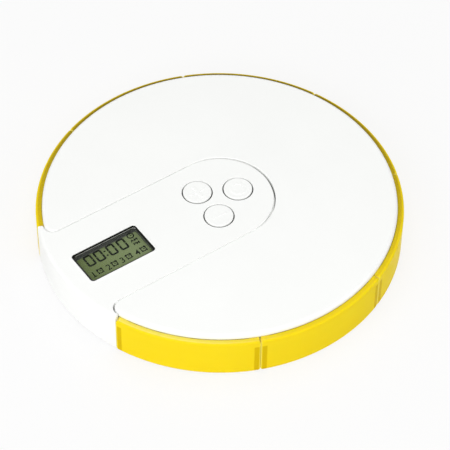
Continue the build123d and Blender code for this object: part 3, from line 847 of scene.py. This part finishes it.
class PILLBOX_OT_buttons(Operator):
    """Builds the three round buttons, each with a raised mark on its cap"""

    bl_idname = "pillbox.buttons"
    bl_label = "Buttons"

    CAP_EDGE_ROUND, FLANGE_WIDTH, STEM_RADIUS = 0.3, 0.95, 1.6
    FLANGE_TOP, FLANGE_LOW, STEM_LOW = 15.8, 14.9, 12.9
    MARK_STAND, MARK_LINE, MARK_REACH = 0.12, 0.9, 2.9

    def execute(self, context):
        size = sizes(context)
        cap, top, edge = size.button_radius, size.top_height + size.button_stand, self.CAP_EDGE_ROUND
        flange, stem = cap + self.FLANGE_WIDTH, self.STEM_RADIUS

        # The cap's top is dished by a hair
        profile = [(0, top - 0.03), (cap * 0.6, top - 0.015), (cap - 0.7, top)]
        profile += [(cap - edge * (1 - sin(turn)), top - edge * (1 - cos(turn))) for turn in quarter_turn(5)]
        profile += [(cap, self.FLANGE_TOP), (flange, self.FLANGE_TOP), (flange, self.FLANGE_LOW)]
        profile += [(stem, self.FLANGE_LOW), (stem, self.STEM_LOW), (0, self.STEM_LOW)]
        low, height, line, reach = top - OVERLAP, OVERLAP + self.MARK_STAND, self.MARK_LINE, self.MARK_REACH
        for name, (x, y) in BUTTON_PLACES.items():
            bm = bmesh.new()
            turned(bm, profile, x, y)
            if name == "set":
                turned(bm, band(reach - line, reach, low, low + height), x, y, 48)
            else:
                block(bm, x, y, low, 2 * reach, line, height)
            if name == "hour":
                for side in (1, -1):
                    block(bm, x, y + side * (line / 2 + reach) / 2, low, line, reach - line / 2, height)
            button = f"{name}_button"
            piece(f"{button}_white", evaluated(bm), f"{name}_key", "button_white", [button])
        return {"FINISHED"}


class PILLBOX_OT_drawers(Operator):
    """Builds the seven yellow drawers, each a wedge-shaped tub behind a curved front"""

    bl_idname = "pillbox.drawers"
    bl_label = "Drawers"

    TUB_LOW, TUB_INSET, POCKET_CORNER_ROUND, POCKET_FLOOR_ROUND = 3.2, 1.3, 2.0, 1.0
    LEAST_EDGE_SHARE, FRONT_CUTS = 0.15, 44
    LIP_REACH, LIP_DEPTH, LIP_THICKNESS, LIP_DROP, LIP_END = 0.4, 1.5, 0.6, 0.02, 0.22

    def front(self, size):
        """The curved front: it is shaped flat, with round corners and edges, then bent round the box."""
        outer, low, high, corner = size.outer_radius, size.base_height, size.front_top, size.front_corner_round
        half, least = radians(seam_half_angle(outer, size.seam_inset)) * outer, self.LEAST_EDGE_SHARE
        bm = new_mesh()
        outline = rounded_rectangle(bm, 0, (low + high) / 2, 0, 2 * half, high - low, corner)
        face = extrude(bm, fill(bm, outline), size.front_thickness)
        weigh(bm, rim(face), lambda place: least + (1 - least) * min(1, (half - abs(place.x)) / corner))
        slab = evaluated(bm, bevel(size.front_edge_round, 5))
        bm = bmesh.new()
        take_in(bm, slab)
        cut_across(bm, [half * (2 * cut / self.FRONT_CUTS - 1) for cut in range(1, self.FRONT_CUTS)])
        for vert in bm.verts:
            along, height, depth = vert.co
            vert.co = polar(outer - size.front_thickness + depth, degrees(along / outer)) + Vector((0, 0, height))
        return bm

    def wedge(self, low, high, reach, back, inset, corner=0):
        """A wedge between the seams, set in from them, with its upright corners rounded."""
        bm = new_mesh()
        half = seam_half_angle(reach, inset)
        back_half = back * tan(radians(HALF_SECTOR)) - inset / cos(radians(HALF_SECTOR))
        pen = Pen(bm, *polar(reach, -half).xy, low)
        faces = fill(bm, pen.arc(0, 0, 2 * half, 1).line(back, back_half).line(back, -back_half).close())
        if corner:
            corners = [vert for vert in faces[0].verts if vert.link_loops[0].calc_angle() < radians(160)]
            round_off(bm, corners, corner, 6, "VERTICES")
        extrude(bm, bm.faces[:], high - low)
        return bm

    def tub(self, size):
        reach = size.outer_radius - size.front_thickness / 2
        return evaluated(self.wedge(self.TUB_LOW, size.tub_top, reach, size.tub_back, self.TUB_INSET))

    def pocket(self, size):
        """The room inside the tub, with a round between its walls and its floor."""
        wall = size.tub_wall
        floor, back, inset = self.TUB_LOW + wall, size.tub_back + wall, self.TUB_INSET + wall
        reach = size.outer_radius - size.front_thickness
        bm = self.wedge(floor, size.tub_top + 5, reach, back, inset, self.POCKET_CORNER_ROUND)
        edges = [edge for edge in bm.edges if all(vert.co.z < floor + OVERLAP for vert in edge.verts)]
        round_off(bm, edges, self.POCKET_FLOOR_ROUND, 4, "EDGES")
        return evaluated(bm)

    def lip(self, size):
        """The thin edge along the front's top that reaches under the cover."""
        bm = bmesh.new()
        inner, outer, high = size.cover_radius - self.LIP_REACH, size.outer_radius - self.LIP_DEPTH, size.front_top
        profile = band(inner, outer, high - self.LIP_DROP - self.LIP_THICKNESS, high - self.LIP_DROP)
        reach = HALF_SECTOR - self.LIP_END
        turned(bm, profile, segments=44, angle=2 * reach, start=-reach)
        close_ends(bm)
        return evaluated(bm)

    def keel(self):
        """The bar under the tub that runs in the base's channel."""
        bm = bmesh.new()
        middle, low, reach, width, height = 30.75, 2.2, 7.5, 4, 1.0
        block(bm, middle, 0, low, reach, width, height + OVERLAP)
        return evaluated(bm)

    def execute(self, context):
        size = sizes(context)
        added = boolean("UNION", self.tub(size), self.keel(), self.lip(size))
        whole = evaluated(self.front(size), *added, *boolean("DIFFERENCE", self.pocket(size)))
        for number, angle in enumerate(DRAWER_ANGLES, 1):
            mesh = whole.copy()
            mesh.transform(Matrix.Rotation(radians(angle), 4, "Z"))
            name, finish = f"drawer_{number}", "yellow_clear_plastic"
            piece(f"{name}_yellow", mesh, name, finish, [name])
        return {"FINISHED"}


class PILLBOX_OT_display(Operator):
    """Builds the display: panel, digits, clock marks and black border"""

    bl_idname = "pillbox.display"
    bl_label = "Display"

    PANEL_THICKNESS, PANEL_MARGIN, PANEL_CORNER, PANEL_EDGE = 2.2, 0.85, 0.3, 0.12
    DIGIT_LOW, DIGIT_HIGH, DIGIT_WIDTH, STROKE, CUT, DIGIT_GAP = 0.92, 6.08, 3.2, 0.72, 0.5, 0.1
    DIGIT_PLACES, COLON, DOT = (-53.87, -49.86, -44.77, -40.43), ((-45.73, 2.15), (-45.73, 4.22)), 0.65
    # Place, radius and line of the clock; the alarms' places along X, then their Y, radius and line
    CLOCK, ALARMS, ALARM = (-34.4, 5.24, 1.35, 0.45), (-51.72, -45.81, -39.94, -33.93), (-2.45, 1.12, 0.34)
    UNDERLINE_PLACE, UNDERLINE_SIZE = (-54.35, -3.66), (1.4, 0.34)
    # Text, place, height, added weight and stretch
    WORDS = (
        ("1", -54.45, -3.83, 2.5, 0.02, 1), ("2", -48.35, -3.83, 2.5, 0.02, 1), ("3", -42.7, -3.83, 2.5, 0.02, 1),
        ("4", -36.55, -3.83, 2.5, 0.02, 1), ("AM", -34.4, 2.4, 1.05, 0.05, 1.3), ("PM", -34.4, 0.7, 1.05, 0.05, 1.3),
    )
    CAPITAL_SHARE, INK, FILM = 0.7, 0.04, 0.02
    LENS_TOP, LENS_LOW, BORDER_ROUND = 16.5, 15.68, 0.9

    def zero(self, bm, z, x):
        """The digit nought: two halves with cut corners, parted at mid height."""
        right, stroke, cut = x + self.DIGIT_WIDTH, self.STROKE, self.CUT
        middle = (self.DIGIT_LOW + self.DIGIT_HIGH) / 2
        for end, side in ((self.DIGIT_HIGH, 1), (self.DIGIT_LOW, -1)):
            start = middle + side * self.DIGIT_GAP
            pen = Pen(bm, x, start, z)
            pen.line(x, end - side * cut).line(x + cut, end).line(right - cut, end).line(right, end - side * cut)
            pen.line(right, start).line(right - stroke, start).line(right - stroke, end - side * stroke)
            pen.line(x + stroke, end - side * stroke).line(x + stroke, start)
            extrude(bm, fill(bm, pen.close()), self.INK)

    def clock(self, bm, z, x, y, radius, line, ears):
        """A round clock mark with two hands, and bells and feet on an alarm."""
        turned(bm, band(radius - line, radius, z, z + self.INK), x, y, 40)
        # Marks that cross each other differ a little in height
        hand, thin = radius * 0.5, 0.22
        block(bm, x, y + hand / 2, z, thin, hand, self.INK + 0.005)
        block(bm, x + hand / 2, y, z, hand, thin, self.INK)
        if not ears:
            return
        away = radius * 0.82
        for side_y, along, across in ((1, 0.85, 0.45), (-1, 0.5, 0.35)):
            for side_x in (1, -1):
                verts = block(bm, 0, 0, z, along, across, self.INK + 0.002)
                turn = Matrix.Rotation(radians(-45 * side_x * side_y), 4, "Z")
                place = Matrix.Translation((x + side_x * away, y + side_y * away, 0))
                bmesh.ops.transform(bm, matrix=place @ turn, verts=verts)

    def word(self, bm, z, text, x, y, height, weight, wide):
        """Adds a generic number or mark of hours, thin and flat."""
        curve = bpy.data.curves.new("draft", "FONT")
        curve.body, curve.size, curve.offset = text, height / self.CAPITAL_SHARE, weight
        curve.extrude, curve.align_x, curve.resolution_u = self.INK / 2, "CENTER", 3
        holder = linked("draft", curve)
        bpy.context.view_layer.update()
        mesh = take_mesh(holder)
        bpy.data.curves.remove(curve)
        mesh.transform(Matrix.Translation((x, y, z + self.INK / 2)) @ Matrix.Diagonal((wide, 1, 1, 1)))
        take_in(bm, mesh)

    def panel(self, size, z):
        bm = new_mesh()
        outline = window(bm, size, z - self.PANEL_THICKNESS, self.PANEL_MARGIN, self.PANEL_CORNER)
        weigh(bm, rim(extrude(bm, fill(bm, outline), self.PANEL_THICKNESS)), 1)
        return evaluated(bm, bevel(self.PANEL_EDGE, 2))

    def digits(self, z):
        bm = bmesh.new()
        for x in self.DIGIT_PLACES:
            self.zero(bm, z, x)
        for x, y in self.COLON:
            block(bm, x, y, z, self.DOT, self.DOT, self.INK)
        return evaluated(bm)

    def marks(self, z):
        """The clock, the four numbered alarms and the marks of hours; the first number is underlined."""
        bm = bmesh.new()
        self.clock(bm, z, *self.CLOCK, ears=False)
        for x in self.ALARMS:
            self.clock(bm, z, x, *self.ALARM, ears=True)
        block(bm, *self.UNDERLINE_PLACE, z, *self.UNDERLINE_SIZE, self.INK)
        for word in self.WORDS:
            self.word(bm, z, *word)
        bmesh.ops.remove_doubles(bm, verts=bm.verts, dist=MM)
        return evaluated(bm)

    def border(self, size):
        """A sleeve in the window's wall, and black films on the lens and below it that frame the view."""
        bm = bmesh.new()
        top, low = self.LENS_TOP, self.LENS_LOW
        sleeve = fill(bm, window(bm, size, top, 0.05) + window(bm, size, top, -0.12))
        extrude(bm, sleeve, size.top_height + size.bezel_stand - size.edge_round - top)
        outer = window(bm, size, top, 0)
        near_x, near_y, far = 0.95, 1.0, 0.2
        x, y = (near_x - far) / 2 - size.window_place, (near_y - far) / 2 + size.window_shift
        width, depth = size.window_length - near_x - far, size.window_width - near_y - far
        inner = rounded_rectangle(bm, x, y, top, width, depth, self.BORDER_ROUND)
        extrude(bm, fill(bm, outer + inner), self.FILM)
        extrude(bm, fill(bm, window(bm, size, low, 0) + window(bm, size, low, self.BORDER_ROUND)), self.FILM)
        return evaluated(bm)

    def execute(self, context):
        size = sizes(context)
        z = size.top_height - size.display_depth
        glass = "display_glass"
        piece("display_panel_glass", self.panel(size, z), "base", glass, ["display_panel"])
        piece("display_digits", self.digits(z), "base", "display_ink")
        piece("display_marks", self.marks(z), "base", "display_ink")
        piece("display_border", self.border(size), "base", "frame_plastic")
        return {"FINISHED"}


class PILLBOX_OT_inner_parts(Operator):
    """Gives the base, the feet, the screws and the timer's inner parts their finishes"""

    bl_idname = "pillbox.inner_parts"
    bl_label = "Base and Inner Parts"

    def execute(self, context):
        for row in frame["record"]["subparts"]:
            node = frame["nodes"][row["node"]]
            node.data.materials.clear()
            finish = "frame_plastic" if row["node"] == "display_frame" else row["material_slot"]
            node.data.materials.append(finishes()[finish])
        return {"FINISHED"}


class PILLBOX_OT_stage(Operator):
    """Sets the floor, the studio light, the white background and the camera"""

    bl_idname = "pillbox.stage"
    bl_label = "Stage"

    AZIMUTH, ELEVATION, ROLL = -35.36, 48.26, 0.71
    DISTANCE, AIM_RIGHT, AIM_UP, AIM_DROP = 769.9, 1.96, 5.77, 5.58
    LENS, SENSOR, CLIP = 170.85, 36, (0.05, 20)
    # Name, place in metres, size in metres and power in watts
    LAMPS = (
        ("key_lamp", (-0.9, -0.3, 0.55), 0.8, 4.2),
        ("front_lamp", (-0.58, -0.82, 1.0), 0.7, 4.8),
        ("fill_lamp", (0.75, -0.65, 0.5), 0.8, 1.5),
        ("top_lamp", (0.1, 0.1, 1.1), 0.9, 3.2),
    )
    WORLD_LIGHT, FLOOR_GLOW, FLOOR_REACH = 0.42, 0.8, 3

    def camera(self):
        azimuth, elevation, roll = map(radians, (self.AZIMUTH, self.ELEVATION, self.ROLL))
        back = Vector((sin(azimuth) * cos(elevation), -cos(azimuth) * cos(elevation), sin(elevation)))
        right = Vector((cos(azimuth), sin(azimuth), 0))
        up = back.cross(right)
        right, up = cos(roll) * right + sin(roll) * up, cos(roll) * up - sin(roll) * right
        place = back * self.DISTANCE + right * self.AIM_RIGHT + up * self.AIM_UP - Vector((0, 0, self.AIM_DROP))
        data = bpy.data.cameras.new("camera")
        data.lens, data.sensor_width = self.LENS, self.SENSOR
        data.clip_start, data.clip_end = self.CLIP
        camera = linked("camera", data)
        camera.matrix_world = Matrix.Translation(place * MM) @ Matrix((right, up, back)).transposed().to_4x4()
        bpy.context.scene.camera = camera

    def lamp(self, name, place, size, power):
        """A square soft lamp that points at the middle of the box."""
        data = bpy.data.lights.new(name, "AREA")
        data.size, data.energy = size, power
        place = Vector(place)
        turn = place.to_track_quat("Z", "Y").to_matrix().to_4x4()
        linked(name, data).matrix_world = Matrix.Translation(place) @ turn

    def background(self):
        """Soft light all round that the camera sees as white."""
        world = bpy.data.worlds.new("studio")
        bpy.context.scene.world = world
        graph = Graph(world)
        light = graph.nodes["Background"]
        light.inputs["Color"].default_value, light.inputs["Strength"].default_value = WHITE, self.WORLD_LIGHT
        white = graph.node("Background", {"Color": WHITE}).outputs[0]
        mix = graph.node("MixShader", {0: graph.seen(), 1: light.outputs[0], 2: white})
        graph.links.new(mix.outputs[0], graph.nodes["World Output"].inputs["Surface"])

    def floor(self, tone):
        bm = bmesh.new()
        bmesh.ops.create_grid(bm, x_segments=8, y_segments=8, size=self.FLOOR_REACH)
        mesh = bpy.data.meshes.new("floor")
        bm.to_mesh(mesh)
        bm.free()
        finish = Finish("floor_paper", Roughness=0.9, Specular_IOR_Level=0.1)
        finish.paint(finish.mix(finish.clouds(6), tint(tone, 0.99), tone))
        glow = finish.node("Emission", {"Color": WHITE}).outputs[0]
        part = finish.product(finish.seen(), self.FLOOR_GLOW)
        mix = finish.node("MixShader", {0: part, 1: finish.shader.outputs[0], 2: glow})
        finish.links.new(mix.outputs[0], finish.nodes["Material Output"].inputs["Surface"])
        mesh.materials.append(finish.material)
        floor = linked("floor", mesh)

    def execute(self, context):
        context.scene.view_settings.view_transform = "Standard"
        self.background()
        self.floor(context.scene.pill_box_colours.floor)
        for values in self.LAMPS:
            self.lamp(*values)
        self.camera()
        return {"FINISHED"}


OPERATORS = (
    PILLBOX_OT_stage, PILLBOX_OT_inner_parts, PILLBOX_OT_top_cover, PILLBOX_OT_timer_housing, PILLBOX_OT_buttons,
    PILLBOX_OT_display, PILLBOX_OT_drawers,
)


class PILLBOX_PT_sidebar(Panel):
    """The pill box's pieces and sizes"""

    bl_idname = "PILLBOX_PT_sidebar"
    bl_label = "Pill Box"
    bl_space_type = "VIEW_3D"
    bl_region_type = "UI"
    bl_category = "Pill Box"

    def draw(self, context):
        for operator in OPERATORS:
            self.layout.operator(operator.bl_idname)
        for group in (context.scene.pill_box_sizes, context.scene.pill_box_colours):
            column = self.layout.column(align=True)
            for name in group.__annotations__:
                column.prop(group, name)


CLASSES = (PillBoxSizes, PillBoxColours, *OPERATORS, PILLBOX_PT_sidebar)


def register():
    for item in CLASSES:
        bpy.utils.register_class(item)
    bpy.types.Scene.pill_box_sizes = PointerProperty(type=PillBoxSizes)
    bpy.types.Scene.pill_box_colours = PointerProperty(type=PillBoxColours)


def unregister():
    del bpy.types.Scene.pill_box_colours
    del bpy.types.Scene.pill_box_sizes
    for item in reversed(CLASSES):
        bpy.utils.unregister_class(item)


def main():
    register()
    for operator in OPERATORS:
        group, name = operator.bl_idname.split(".")
        getattr(getattr(bpy.ops, group), name)()


if __name__ == "__main__":
    main()
